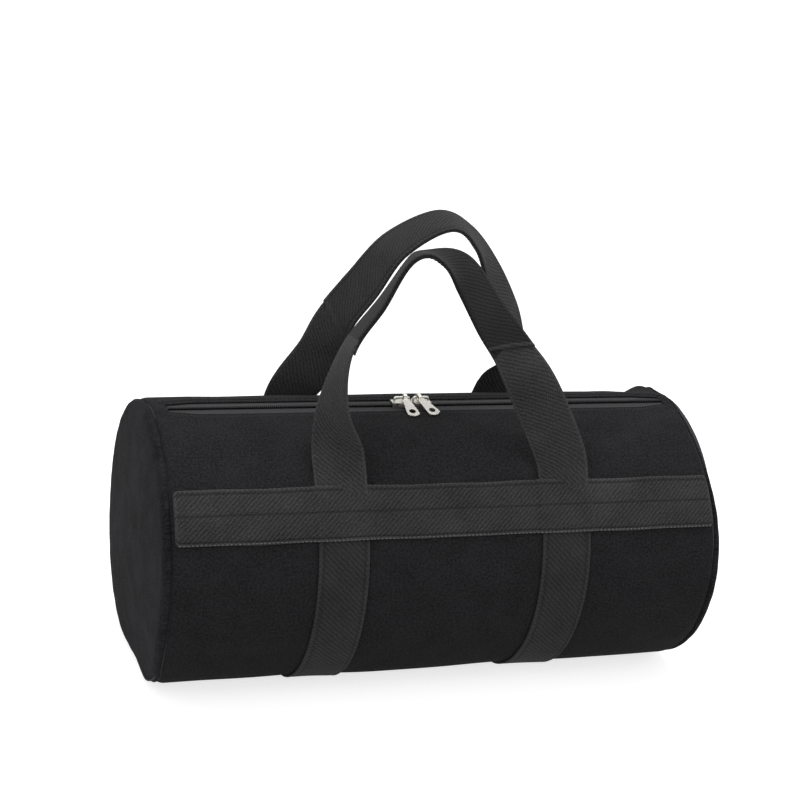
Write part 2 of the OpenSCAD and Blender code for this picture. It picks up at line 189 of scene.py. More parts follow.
# Creases that run out from the ends of the zip and from the handles' feet: both ends of each (along the bag,
# angle), how wide it is, and its height
CREASES = (
    (200, 86, 132, 66, 7, -1.5), (206, 80, 150, 58, 6, 1.1), (212, 70, 176, 44, 8, -0.9), (-198, 86, -140, 68, 7, -1.2),
    (-206, 78, -160, 56, 7, 0.8), (70, 56, 20, 66, 9, -0.8), (-70, 58, -12, 68, 9, -0.7), (112, 58, 150, 72, 8, 0.8),
    (-212, -40, -170, -8, 8, -0.7), (212, -30, 160, -6, 9, 0.7), (200, 94, 140, 118, 7, -1.2),
    (-200, 94, -136, 120, 8, -1.2), (60, -48, 10, -20, 10, 0.6), (-64, -50, -22, -14, 9, -0.6),
)
# Where the ends are drawn in by the way the stuffing has settled: end, angle, reach in degrees, and depth.
# The barrel follows them from TUCK_FROM outwards.
TUCKS = ((1, 68, 36, 5.6), (-1, -64, 26, 7.5))
TUCK_FROM = 150


def bell(off, reach):
    """1 where off is 0, falling off over reach on both sides."""
    return np.exp(-((off / reach) ** 2))


def eased(share):
    """A share from 0 to 1, with a smooth start and end."""
    return share * share * (3 - 2 * share)


def off_angle(angle, at):
    """How far an angle is past another, from -180 to 180 degrees."""
    return (angle - at + 180) % 360 - 180


def end_tuck(side, angle):
    """How far the rim of one end is drawn in at an angle."""
    return sum(depth * bell(off_angle(angle, at), reach) for end, at, reach, depth in TUCKS if end == side)


def slot_half_width(x):
    """Half the width of the zip's slot, which its hem narrows towards both ends."""
    near_end = np.clip((np.abs(x) - SLOT_TAPER_FROM) / (SLOT_HALF_L - SLOT_TAPER_FROM), 0, 1)
    return SLOT_HALF_W * (1 - SLOT_TAPER * eased(near_end))


def barrel_base(x, angle):
    """Points of the stuffed barrel at x, at an angle in degrees from the front over the top, on its outer face."""
    x, angle = np.broadcast_arrays(np.asarray(x, float), np.asarray(angle, float))
    turn = np.radians(angle)
    away_from_zip = np.clip((np.abs(off_angle(angle, 90)) - ZIP_LEVEL) / ZIP_FADE, 0, 1)
    rise = np.zeros(x.shape)
    for at_x, at_angle, reach_x, reach_angle, height in SOFT_DENTS:
        rise = rise + height * bell(x - at_x, reach_x) * bell(off_angle(angle, at_angle), reach_angle)
    arc = (angle + 90) % 360 - 90
    for x0, a0, x1, a1, reach, height in CREASES:
        run_x, run_a = x1 - x0, (a1 - a0) * DEGREE
        off_x, off_a = x - x0, (arc - a0) * DEGREE
        share = np.clip((off_x * run_x + off_a * run_a) / (run_x**2 + run_a**2), 0, 1)
        off = np.hypot(off_x - share * run_x, off_a - share * run_a)
        rise = rise + height * (1 - 0.7 * share) * bell(off, reach * (1 + share))
    # A faint unevenness all over, and the dips under the straps
    rise = rise + 0.35 * np.sin(x / 17 + 2.1 * np.sin(turn * 2)) * np.sin(turn * 3 + x / 60)
    rise = rise - 0.6 * bell(np.abs(x) - STRAP_X, 24)
    radius = BARREL_R + rise * eased(away_from_zip)
    # The hem round the zip: its fold, the groove that the topstitching draws down, and the swell outside it
    past_end = np.clip(np.abs(x) - SLOT_HALF_L, 0, None)
    past_side = np.clip(np.abs(arc - 90) * DEGREE - slot_half_width(x), 0, None)
    hem = np.hypot(past_end, past_side)
    radius = radius - 0.6 * bell(hem, 1.2) - 0.9 * bell(hem - HEM, 0.9) + 0.5 * bell(hem - HEM_SWELL, 3)
    into_seam = np.clip((np.abs(x) - (BARREL_HALF - SEAM_ROLL)) / SEAM_ROLL, 0, 1)
    radius = radius - SEAM_DEPTH * (1 - np.sqrt(1 - into_seam**2 * 0.999))
    height = radius * np.sin(turn)
    floor_at = SAG - BARREL_R
    height = floor_at + FLOOR_ROUND * np.logaddexp(0, (height - floor_at) / FLOOR_ROUND)
    # At the zip the end is drawn in past the slot only, which leaves its whole length to the sliders
    start = TUCK_FROM + (SLOT_HALF_L - TUCK_FROM) * (1 - away_from_zip) ** 2
    near_end = np.clip((np.abs(x) - start) / (BARREL_HALF - start), 0, 1) ** 2
    drawn_in = np.where(x > 0, end_tuck(1, angle), end_tuck(-1, angle)) * near_end
    return np.stack([x - np.sign(x) * drawn_in, -radius * np.cos(turn), height + AXIS_HEIGHT], -1)


def on_barrel(x, angle, lift=0.0):
    """Points at a height above the barrel's outer face."""
    x, angle, lift = np.broadcast_arrays(np.asarray(x, float), np.asarray(angle, float), np.asarray(lift, float))
    step_x, step_a = 0.5, 0.25
    along = barrel_base(x + step_x, angle) - barrel_base(x - step_x, angle)
    around = barrel_base(x, angle + step_a) - barrel_base(x, angle - step_a)
    out = np.cross(along, around)
    out[..., 0] = 0
    out /= np.linalg.norm(out, axis=-1, keepdims=True)
    middle = np.array([0, 0, AXIS_HEIGHT])
    outward = np.where(((barrel_base(x, angle) - middle) * out).sum(-1, keepdims=True) < 0, -out, out)
    return barrel_base(x, angle) + outward * lift[..., None]


def mesh_object(name, points, faces, cloth=None):
    """A smooth mesh from points in millimetres. cloth gives each point's place on the flat cloth, in millimetres."""
    mesh = bpy.data.meshes.new(name)
    points = np.asarray(points, float).reshape(-1, 3)
    mesh.from_pydata((points / 1000).tolist(), [], [tuple(int(i) for i in f) for f in faces])
    if cloth is not None:
        flat = np.asarray(cloth, float).reshape(-1, 2)
        layer = mesh.uv_layers.new(name="cloth")
        corners = np.empty(len(mesh.loops), int)
        mesh.loops.foreach_get("vertex_index", corners)
        layer.data.foreach_set("uv", flat[corners].astype(np.float32).ravel())
    mesh.polygons.foreach_set("use_smooth", [True] * len(mesh.polygons))
    mesh.update()
    made = bpy.data.objects.new(name, mesh)
    bpy.context.collection.objects.link(made)
    return made


def grid_faces(rows, columns, closed=False, keep=None):
    """Quads of a grid of points, row by row. closed joins the last column to the first."""
    faces = []
    for i in range(rows - 1):
        for j in range(columns if closed else columns - 1):
            k = (j + 1) % columns
            if keep is None or keep(i, j):
                faces.append((i * columns + j, i * columns + k, (i + 1) * columns + k, (i + 1) * columns + j))
    return faces


def noise(tree, place, scale, detail=2.0, roughness=0.5):
    """Noise over the flat cloth where place is its UV, or else through the solid."""
    dimensions = "2D" if place.node.bl_idname == "ShaderNodeUVMap" else "3D"
    settings = {"Vector": place, "Scale": scale, "Detail": detail, "Roughness": roughness}
    return add(tree, "ShaderNodeTexNoise", settings, noise_dimensions=dimensions)


def ranged(tree, value, low, high, to_low=0.0, to_high=1.0):
    """A value from low to high, spread over another range."""
    ends = {"Value": value, "From Min": low, "From Max": high, "To Min": to_low, "To Max": to_high}
    return add(tree, "ShaderNodeMapRange", ends).outputs[0]


def mixed(tree, share, first, second):
    """Two colours mixed by a share."""
    return add(tree, "ShaderNodeMix", {0: share, 6: first, 7: second}, data_type="RGBA").outputs[2]


def surface(tree, inputs):
    """Ends a material with one Principled surface."""
    body = add(tree, "ShaderNodeBsdfPrincipled", inputs)
    add(tree, "ShaderNodeOutputMaterial", {"Surface": body.outputs[0]})


def cloth_material(name):
    """A material with its tree, its place on the flat cloth and its place in the solid."""
    made, tree = new_material(name)
    flat = add(tree, "ShaderNodeUVMap", uv_map="cloth").outputs[0]
    return made, tree, flat, add(tree, "ShaderNodeTexCoord").outputs["Object"]


def canvas(name, dark, light, mottling=1.0, pitch=1.3):
    """Cotton duck, woven plain: thick threads cross one over one, so the eye sees a fine uneven grain that is
    matt, a little furry at a glancing angle and flecked with lint. The threads of the real cloth are 0.8 mm
    apart, which is finer than a pixel, so they are drawn coarser, at 1.3 mm."""
    made, tree, flat, solid = cloth_material(name)
    slub = noise(tree, flat, 0.2, 3.0)
    moved = add(tree, "ShaderNodeVectorMath", {0: slub.outputs["Color"], 1: (1.3, 1.3, 0)}, operation="MULTIPLY_ADD")
    tree.links.new(flat, moved.inputs[2])
    axes = add(tree, "ShaderNodeSeparateXYZ", {0: moved.outputs[0]})
    waves = [
        maths(tree, "COSINE", maths(tree, "MULTIPLY", axes.outputs[side], math.pi / pitch)) for side in ("X", "Y")
    ]
    crossing = maths(tree, "MULTIPLY", *waves)
    crown = maths(tree, "MULTIPLY", crossing, crossing)
    grain = noise(tree, flat, 0.55, 3.0, 0.6).outputs["Fac"]
    cloud = noise(tree, solid, 45.0, 6.0, 0.7).outputs["Fac"]
    patches = maths(tree, "MULTIPLY_ADD", cloud, mottling, (1 - mottling) / 2)
    mottle = maths(tree, "MULTIPLY_ADD", grain, 1.5, patches)
    tone = maths(tree, "MULTIPLY_ADD", crown, 0.3, mottle)
    cloth = mixed(tree, ranged(tree, tone, 0.98, 1.62), linear(dark), linear(light))
    fleck = noise(tree, flat, 0.3, 7.0, 0.8).outputs["Fac"]
    flecked = mixed(tree, ranged(tree, fleck, 0.73, 0.79), cloth, linear("#55575c"))
    height = maths(tree, "MULTIPLY_ADD", grain, 1.2, crown)
    bump = add(tree, "ShaderNodeBump", {"Height": height, "Strength": 0.7, "Distance": 0.0004})
    surface(tree, {
        "Base Color": flecked, "Roughness": 0.95, "Normal": bump.outputs[0],
        "Specular IOR Level": 0.05, "Sheen Weight": 0.012, "Sheen Roughness": 0.5,
    })
    return made


def solid_cloth(piece, thickness, rim=0.0004):
    """Gives a sheet its thickness inwards and rounds the folded edges."""
    wall = piece.modifiers.new("thickness", "SOLIDIFY")
    wall.thickness, wall.offset, wall.use_rim = thickness / 1000, -1, True
    if rim:
        fold = piece.modifiers.new("fold", "BEVEL")
        fold.width, fold.segments, fold.limit_method, fold.angle_limit = rim, 2, "ANGLE", math.radians(50)


black_duck = canvas("black_duck", "#171718", "#2c2c2e", 0.6)
slot_angle = math.degrees(math.asin(SLOT_HALF_W / BARREL_R))
slot_ends = SLOT_HALF_L + np.arange(-2, 6.5, 0.5)
seam_rows = BARREL_HALF - SEAM_ROLL * (1 - np.sin(np.linspace(0, math.pi / 2, 6)))
along = np.unique(np.concatenate([np.linspace(-206, 206, 114), slot_ends, -slot_ends, seam_rows, -seam_rows]))
hem_turns = np.arange(0, 6, 0.25)
ROUND_COLUMNS = 233
around = np.concatenate([
    90 + slot_angle + hem_turns, np.linspace(96 + slot_angle, 444 - slot_angle, ROUND_COLUMNS),
    (450 - slot_angle - hem_turns)[::-1], np.linspace(90 - slot_angle, 90 + slot_angle, 12)[1:-1],
])
off_zip = (around % 360 - 90)[None, :]
beyond = np.clip(np.abs(off_zip) - slot_angle, 0, None)
narrowed = np.degrees((SLOT_HALF_W - slot_half_width(along)) / BARREL_R)[:, None] * bell(beyond, 6)
towards_zip = np.sign(off_zip) * np.clip(np.abs(off_zip) / slot_angle, 0, 1)
points = on_barrel(along[:, None], 90 + off_zip - towards_zip * narrowed)
flat = np.stack(np.broadcast_arrays(along[:, None], (around * DEGREE)[None, :]), -1)


def outside_slot(i, j):
    """True where the barrel has cloth: the zip's slot is left open."""
    return j < 2 * len(hem_turns) + ROUND_COLUMNS - 1 or abs(along[i] + along[i + 1]) / 2 > SLOT_HALF_L


barrel = mesh_object("barrel_cloth", points, grid_faces(len(along), len(around), True, outside_slot), flat)
barrel.data.flip_normals()
barrel.data.materials.append(black_duck)
solid_cloth(barrel, CANVAS_T)
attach(barrel, "bag")
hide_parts("barrel_panel")


# Sewing thread, laid by one tree that puts a short twisted stitch at every step of a line
def laying_tree(name, sizes, gives):
    """An empty Geometry Nodes tree that takes a line, named sizes in metres and a finish, and its input node."""
    tree = bpy.data.node_groups.new(name, "GeometryNodeTree")
    face = tree.interface
    face.new_socket("Line", in_out="INPUT", socket_type="NodeSocketGeometry")
    for size, value in sizes.items():
        face.new_socket(size, in_out="INPUT", socket_type="NodeSocketFloat").default_value = value
    face.new_socket("Finish", in_out="INPUT", socket_type="NodeSocketMaterial")
    face.new_socket(gives, in_out="OUTPUT", socket_type="NodeSocketGeometry")
    return tree, add(tree, "NodeGroupInput").outputs


def lay_balls(tree, given, gives, points, ball, sizes, **turned):
    """Lays a stretched ball at every point, makes them real and gives them their finish."""
    rounded = add(tree, "GeometryNodeSetShadeSmooth", {"Geometry": ball.outputs["Mesh"]})
    size = add(tree, "ShaderNodeCombineXYZ", {axis: given[name] for axis, name in enumerate(sizes)})
    inputs = {"Points": points, "Instance": rounded.outputs[0], "Scale": size.outputs[0], **turned}
    laid = add(tree, "GeometryNodeInstanceOnPoints", inputs)
    real = add(tree, "GeometryNodeRealizeInstances", {"Geometry": laid.outputs[0]})
    dressed = add(tree, "GeometryNodeSetMaterial", {"Geometry": real.outputs[0], "Material": given["Finish"]})
    add(tree, "NodeGroupOutput", {gives: dressed.outputs[0]})


def stitch_tree():
    sizes = {"Step": 0.0032, "Stitch length": 0.0024, "Thread": 0.0006}
    tree, given = laying_tree("stitch_row", sizes, "Stitches")
    curve = add(tree, "GeometryNodeMeshToCurve", {"Mesh": given["Line"]})
    step = {"Curve": curve.outputs[0], "Length": given["Step"]}
    steps = add(tree, "GeometryNodeResampleCurve", step, mode="LENGTH")
    heading = add(tree, "GeometryNodeInputTangent")
    turn = add(tree, "FunctionNodeAlignRotationToVector", {"Vector": heading.outputs[0]}, axis="Z")
    ball = add(tree, "GeometryNodeMeshUVSphere", {"Segments": 6, "Rings": 4, "Radius": 0.5})
    stretched = ("Thread", "Thread", "Stitch length")
    lay_balls(tree, given, "Stitches", steps.outputs[0], ball, stretched, Rotation=turn.outputs[0])
    return tree


def laid_along(name, points, edges, tree, values):
    """A piece that a tree lays along lines of points in millimetres, turned into a plain mesh."""
    mesh = bpy.data.meshes.new(name)
    mesh.from_pydata((np.asarray(points) / 1000).tolist(), edges, [])
    piece = bpy.data.objects.new(name, mesh)
    bpy.context.collection.objects.link(piece)
    laid = piece.modifiers.new("laid", "NODES")
    laid.node_group = tree
    for socket in tree.interface.items_tree:
        if socket.in_out == "INPUT" and socket.name in values:
            laid[socket.identifier] = values[socket.name]
    depsgraph = bpy.context.evaluated_depsgraph_get()
    real = bpy.data.meshes.new_from_object(piece.evaluated_get(depsgraph), depsgraph=depsgraph)
    piece.modifiers.clear()
    piece.data = real
    return piece


def sew(name, lines, thread, body, step=3.2, length=2.5, thick=0.65):
    """Stitches along lines of points in millimetres, on one body."""
    edges, first = [], 0
    for line in lines:
        edges += [(first + i, first + i + 1) for i in range(len(line) - 1)]
        first += len(line)
    sizes = {"Step": step / 1000, "Stitch length": length / 1000, "Thread": thick / 1000, "Finish": thread}
    row = laid_along(name, np.vstack(lines), edges, STITCHES, sizes)
    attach(row, body)


def thread_finish(name, shade):
    """Bonded polyester thread: three plies twisted together, smooth, with a slight silky shine."""
    made, tree = new_material(name)
    solid = add(tree, "ShaderNodeTexCoord").outputs["Object"]
    twist = {"Vector": solid, "Scale": 900.0, "Distortion": 1.5}
    ply = add(tree, "ShaderNodeTexWave", twist, bands_direction="DIAGONAL")
    tone = ranged(tree, noise(tree, solid, 300.0).outputs["Fac"], 0.3, 0.7, 0.75, 1.25)
    cloth = add(tree, "ShaderNodeVectorMath", {0: linear(shade)[:3], "Scale": tone}, operation="SCALE")
    bump = add(tree, "ShaderNodeBump", {"Height": ply.outputs["Fac"], "Strength": 0.5, "Distance": 0.0001})
    surface(tree, {
        "Base Color": cloth.outputs[0], "Roughness": 0.55, "Normal": bump.outputs[0], "Specular IOR Level": 0.3,
    })
    return made


STITCHES = stitch_tree()
black_thread = thread_finish("black_thread", "#161617")
grey_thread = thread_finish("grey_thread", "#5a5a5d")
line_x = np.linspace(-SLOT_HALF_L, SLOT_HALF_L, 160)
hem_turn = np.degrees((slot_half_width(line_x) + HEM) / BARREL_R)
corner = np.linspace(90 - hem_turn[0], 90 + hem_turn[0], 24)
THREAD_LIFT = 0.25
hem_lines = [on_barrel(line_x, 90 + side * hem_turn, THREAD_LIFT) for side in (-1, 1)]
hem_lines += [on_barrel(end * (SLOT_HALF_L + HEM), corner, THREAD_LIFT) for end in (-1, 1)]
sew("zip_topstitch", hem_lines, black_thread, "bag", thick=0.8)


# ---- End panels ----
# A round of the same duck at each end, sewn inside out to the barrel and puffed out by the stuffing.
# The seam draws both cloths into a narrow groove and leaves small puckers round the rim.
# How far an end is puffed out, the radius that it turns over at its rim, and how near its middle the rows end
END_PUFF, END_ROUND, END_MIDDLE = 13.0, 9.0, 4
PUCKER = 0.22
# The ends take a darker copy of the barrel's duck: painted shade that dims the end panels
painted_shade_end_duck = canvas("painted_shade_end_duck", "#131314", "#2b2b2e", 1.4)
for side, name, node in ((-1, "left_end_cloth", "left_end_panel"), (1, "right_end_cloth", "right_end_panel")):
    turns = np.arange(0, 360, 1.0)
    rim = barrel_base(side * (BARREL_HALF - SEAM_ROLL - 0.5), turns)
    flat_r = BARREL_R - END_ROUND
    # The rows start under the barrel's edge, so that the seam is closed
    bend = np.radians(np.linspace(-8, 90, 20))
    crown = np.linspace(flat_r, END_MIDDLE, 30)[1:]
    radii = np.concatenate([flat_r + END_ROUND * np.cos(bend), crown])
    outs = np.concatenate([
        END_ROUND * np.sin(bend), END_ROUND + (END_PUFF - END_ROUND) * (1 - (crown / flat_r) ** 2),
    ])
    groove = SEAM_DEPTH * np.clip(1 - outs / 5.0, 0, 1) ** 2
    share = (radii - groove)[:, None] / BARREL_R
    around = np.radians(turns)
    pucker = np.sin(around * 23 + 2.7 * np.sin(around * 3)) * (0.6 + 0.4 * np.sin(around * 4 + side))
    pucker = pucker + 0.5 * np.sin(around * 41 + 1)
    near_rim = PUCKER * bell(outs - 5, 4)[:, None] * (radii > flat_r - 24)[:, None]
    inside = (radii / BARREL_R)[:, None]
    # The left end is slack underneath, and the right one at its top
    if side < 0:
        fill = 0.78 - 0.36 * bell(off_angle(turns, -96), 26)
    else:
        fill = 0.95 - 0.7 * bell(turns - 78, 46)
    bulge = outs[:, None] * (0.75 + (fill - 0.75) * inside**1.5)
    swell = 2.4 * inside * (1 - inside) * np.sin(around * 2 + 0.7 * side)
    swell = swell + 1.6 * inside**2 * (1 - inside) * np.sin(around * 5 + 2)
    drawn_in = end_tuck(side, turns) * inside**2
    x = side * (BARREL_HALF + bulge + pucker[None, :] * near_rim + swell - drawn_in)
    y = rim[None, :, 1] * share
    z = AXIS_HEIGHT + (rim[None, :, 2] - AXIS_HEIGHT) * share
    points = np.stack([x, y, z], -1)
    centre = np.array([[side * (BARREL_HALF + END_PUFF * 0.75), 0, AXIS_HEIGHT]])
    faces = grid_faces(len(radii), len(turns), True)
    last = (len(radii) - 1) * len(turns)
    middle = len(radii) * len(turns)
    faces += [(last + j, last + (j + 1) % len(turns), middle) for j in range(len(turns))]
    everything = np.vstack([points.reshape(-1, 3), centre])
    panel = mesh_object(name, everything, faces, everything[:, 1:])
    if side > 0:
        panel.data.flip_normals()
    panel.data.materials.append(painted_shade_end_duck)
    solid_cloth(panel, CANVAS_T, 0)
    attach(panel, "bag")
    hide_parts(node)


# ---- End bindings ----
# Twill tape folded over the raw edges of each end seam, inside the bag, and sewn down along its middle.
def webbing(name, dark, light, half_width, pitch=2.8, rows=(), half_length=None):
    """Cotton twill webbing, woven on a narrow loom: slanting ribs, each a string of short raised threads, and
    a thick beaded edge where the weft turns back. rows are where stitches draw it down. It is matt and a little
    dusty, lighter on the crowns of the ribs and along its edges."""
    made, tree, flat, solid = cloth_material(name)
    sway = noise(tree, flat, 0.16, 3.0).outputs["Fac"]
    axes = add(tree, "ShaderNodeSeparateXYZ", {0: flat})
    along, across = axes.outputs["X"], axes.outputs["Y"]

    def calc(operation, *values):
        return maths(tree, operation, *values)

    def wave(spacing_along, spacing_across):
        """A wave that repeats at these spacings in millimetres."""
        turned = calc("MULTIPLY", across, 2 * math.pi / spacing_across)
        return calc("SINE", calc("MULTIPLY_ADD", along, 2 * math.pi / spacing_along, turned))

    slant = calc("MULTIPLY_ADD", sway, 2.4, calc("SUBTRACT", along, across))
    rib = calc("SINE", calc("MULTIPLY", slant, 2 * math.pi / (pitch * math.sqrt(2))))
    ribs = calc("MULTIPLY_ADD", rib, 0.5, 0.5)
    raised = calc("MULTIPLY", ribs, calc("MULTIPLY_ADD", wave(4.6, 1.9), 0.28, 0.72))
    edge = ranged(tree, calc("ABSOLUTE", across), half_width - 2.3, half_width - 1.5)
    if half_length:
        at_end = ranged(tree, calc("ABSOLUTE", along), half_length - 2.4, half_length - 1.4)
        edge = calc("MAXIMUM", edge, at_end)
    bead = calc("MULTIPLY_ADD", wave(3.6, 5.0), 0.35, 0.85)
    height = add(tree, "ShaderNodeMix", {0: edge, 2: raised, 3: bead}, data_type="FLOAT").outputs[0]
    # Along each row of stitches the colour is darkened towards #0b0b0c, dotted at the stitch spacing: painted shade in
    # the groove that the stitches draw down
    painted_row_shade = 0.0
    for row in rows:
        away = calc("ABSOLUTE", calc("SUBTRACT", across, row))
        hole = calc("SINE", calc("MULTIPLY", along, 2 * math.pi / 3.2))
        row_shade = calc("MULTIPLY", ranged(tree, away, 1.0, 0.3), calc("MULTIPLY_ADD", hole, 0.3, 0.7))
        painted_row_shade = calc("MAXIMUM", painted_row_shade, row_shade)
    worn = noise(tree, solid, 30.0, 4.0, 0.6).outputs["Fac"]
    grain = noise(tree, flat, 0.6, 3.0, 0.6).outputs["Fac"]
    tone = calc("MULTIPLY_ADD", height, 0.6, calc("MULTIPLY_ADD", grain, 1.3, worn))
    cloth = mixed(tree, ranged(tree, tone, 0.85, 2.05), linear(dark), linear(light))
    sewn = mixed(tree, calc("MULTIPLY", painted_row_shade, 0.7), cloth, linear("#0b0b0c"))
    bump = add(tree, "ShaderNodeBump", {"Height": height, "Strength": 0.6, "Distance": 0.0005})
    surface(tree, {
        "Base Color": sewn, "Roughness": 0.88, "Normal": bump.outputs[0],
        "Specular IOR Level": 0.12, "Sheen Weight": 0.04, "Sheen Roughness": 0.45,
    })
    return made


def strap_section(half_width, thickness, columns=22, edge=4, grooves=()):
    """Outline of webbing cut across: places across, heights above its underside and places on the flat cloth.
    Its edges are rounded, and each groove is where a row of stitches draws it down."""
    t = thickness / 2
    across = np.linspace(-(half_width - t), half_width - t, columns)
    across = np.unique(np.concatenate([across] + [[g - 0.8, g, g + 0.8] for g in grooves]))
    drop = sum((0.45 * bell(across - g, 0.7) for g in grooves), np.zeros(len(across)))
    turn = np.radians(np.linspace(0, 180, edge + 2))[1:-1]
    right_edge = np.stack([half_width - t + t * np.sin(turn), t + t * np.cos(turn)], -1)
    left_edge = np.stack([-(half_width - t) - t * np.sin(turn[::-1]), t + t * np.cos(turn[::-1])], -1)
    top = np.stack([across, thickness - drop], -1)
    under = np.stack([across[::-1], np.zeros(len(across))], -1)
    outline = np.vstack([top, right_edge, under, left_edge])
    return outline[:, 0], outline[:, 1], outline[:, 0]


def close_ends(faces, rows, columns):
    """Adds a face over each end of a tube of points."""
    return faces + [tuple(range(columns))[::-1], tuple(range((rows - 1) * columns, rows * columns))]


# Places of the bindings along the bag, their sizes, and how deep they lie under the duck
BINDING_X, BINDING_HALF_W, BINDING_T, BINDING_SINK = 217.0, 4.9, 1.1, 1.5
binding_twill = webbing("binding_twill", "#262628", "#414144", 5.0, 1.6)
for side, name, node in ((-1, "left_binding_tape", "left_end_binding"), (1, "right_binding_tape", "right_end_binding")):
    turns = np.arange(0, 360, 3.0)
    across, high, flat_v = strap_section(BINDING_HALF_W, BINDING_T, 8, 3)
    x = side * BINDING_X + across[None, :]
    points = on_barrel(np.clip(x, -BINDING_X, BINDING_X), turns[:, None], high[None, :] - CANVAS_T - BINDING_SINK)
    points[..., 0] = x
    flat = np.stack(np.broadcast_arrays((turns * DEGREE)[:, None], flat_v[None, :]), -1)
    faces = grid_faces(len(turns) + 1, len(across), True)
    faces = [tuple(i % (len(turns) * len(across)) for i in f) for f in faces]
    tape = mesh_object(name, points, faces, flat)
    tape.data.flip_normals()
    tape.data.materials.append(binding_twill)
    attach(tape, "bag")
    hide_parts(node)

# ---- Girth straps ----
# Two straps of 40 mm webbing that run under the bag from band to band. A row of stitches near each edge
# sews them to the duck.
STRAP_HALF_W, STRAP_T, GAP = 20.0, 2.0, 0.3
BAND_TOP, BAND_W = 43.9, 42.0
# The straps end under the bands, edge to edge with the handles' feet. Their stitches stop where the bands start.
STRAP_END, SEWN_END = BAND_TOP - 10, 21
strap_rows = (-16.2, 16.2)
strap_twill = webbing("strap_twill", "#1b1b1c", "#3a3a3b", STRAP_HALF_W, 3.2, strap_rows)
for side, name, node in (
    (-1, "left_girth_webbing", "left_girth_strap"), (1, "right_girth_webbing", "right_girth_strap"),
):
    turns = np.linspace(STRAP_END, -180 - STRAP_END, 241)
    across, high, flat_v = strap_section(STRAP_HALF_W, STRAP_T, 20, 4, strap_rows)
    points = on_barrel(side * STRAP_X - across[None, :], turns[:, None], GAP + high[None, :])
    flat = np.stack(np.broadcast_arrays((-turns * DEGREE)[:, None], -flat_v[None, :]), -1)
    faces = close_ends(grid_faces(len(turns), len(across), True), len(turns), len(across))
    strap = mesh_object(name, points, faces, flat)
    strap.data.materials.append(strap_twill)
    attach(strap, "bag")
    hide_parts(node)
    seen_turns = np.linspace(SEWN_END, -180 - SEWN_END, 220)
    lines = [on_barrel(side * STRAP_X + row, seen_turns, GAP + STRAP_T - 0.42) for row in strap_rows]
    sew(name + "_stitches", lines, black_thread, "bag")

# ---- Bands ----
# A band of heavier ribbed webbing along each side, over the girth straps and the handles' feet. Its cut ends are
# folded under by the end seams, and rows of stitches run near its top edge, along its middle and at its bottom.
BAND_HALF_L = 220.0
# How far from a strap's middle the band has finer rows, and starts to rise over the strap
NEAR_STRAP, RISE_FROM, RISE_OVER = 27, 4.3, 4
FOLD_L, FOLD_T, CORNER_R = 13, 0.5, 4
band_rows = (17.3, 0.8, -18.2)
band_twill = webbing("band_twill", "#1c1c1d", "#434344", BAND_W / 2, 2.8, band_rows, BAND_HALF_L)
for side, name, node in ((-1, "front_band_webbing", "front_band"), (1, "rear_band_webbing", "rear_band")):
    end_rows, strap_xs = BAND_HALF_L - np.arange(0, 5, 0.5), STRAP_X + np.linspace(-NEAR_STRAP, NEAR_STRAP, 37)
    xs = np.unique(np.concatenate([
        np.linspace(-BAND_HALF_L, BAND_HALF_L, 150), end_rows, -end_rows, strap_xs, -strap_xs,
    ]))
    across, high, flat_v = strap_section(BAND_W / 2, STRAP_T, 24, 4, band_rows)
    degrees = math.degrees(1 / (BARREL_R + 1.3))
    middle_angle = BAND_TOP - BAND_W / 2 * degrees
    over = np.clip((STRAP_HALF_W + RISE_FROM - np.abs(np.abs(xs) - STRAP_X)) / RISE_OVER, 0, 1)
    lift = GAP + (STRAP_T + GAP) * eased(over)
    # The cut ends are folded under, which leaves them thicker and rounds their corners
    to_end = BAND_HALF_L - np.abs(xs)
    folded = FOLD_T / (1 + np.exp((to_end - FOLD_L) / 1.2))
    in_corner = np.clip(1 - to_end / CORNER_R, 0, 1)
    narrow = CORNER_R * (1 - np.sqrt(1 - 0.97 * in_corner**2)) / (BAND_W / 2)
    wavy = 0.35 * np.sin(xs / 23 + side) + 0.25 * np.sin(xs / 9.5 + 2)
    from_middle = across[None, :] * (1 - narrow[:, None])
    from_middle = from_middle + wavy[:, None] * (np.abs(across[None, :]) / (BAND_W / 2)) ** 2
    angle = middle_angle + from_middle * degrees
    if side > 0:
        angle = 180 - angle
    points = on_barrel(xs[:, None], angle, lift[:, None] + high[None, :] + folded[:, None] * (high[None, :] > 0.5))
    flat = np.stack(np.broadcast_arrays((-side * xs)[:, None], flat_v[None, :]), -1)
    faces = close_ends(grid_faces(len(xs), len(across), True), len(xs), len(across))
    band = mesh_object(name, points, faces, flat)
    if side < 0:
        band.data.flip_normals()
    band.data.materials.append(band_twill)
    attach(band, "bag")
    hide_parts(node)
    sewn_rows = ((band_rows[0], black_thread, 0.7), (band_rows[1], black_thread, 0.7), (-20.1, grey_thread, 1.1))
    for number, (v, thread, thick) in enumerate(sewn_rows):
        row_angle = middle_angle + v * degrees
        height = (lift + folded)[6:-6] + STRAP_T - 0.35
        row = on_barrel(xs[6:-6], row_angle if side < 0 else 180 - row_angle, height)
        sew(f"{name}_stitches_{number}", [row], thread, "bag", thick=thick)

# ---- Zip tapes ----
# Two woven polyester tapes that carry the coils, sewn under the folded edges of the slot.
TAPE_TOP_R, TAPE_T, TAPE_W, TAPE_GAP, TAPE_HALF_L = 110.1, 0.9, 15.0, 2.6, 211.7


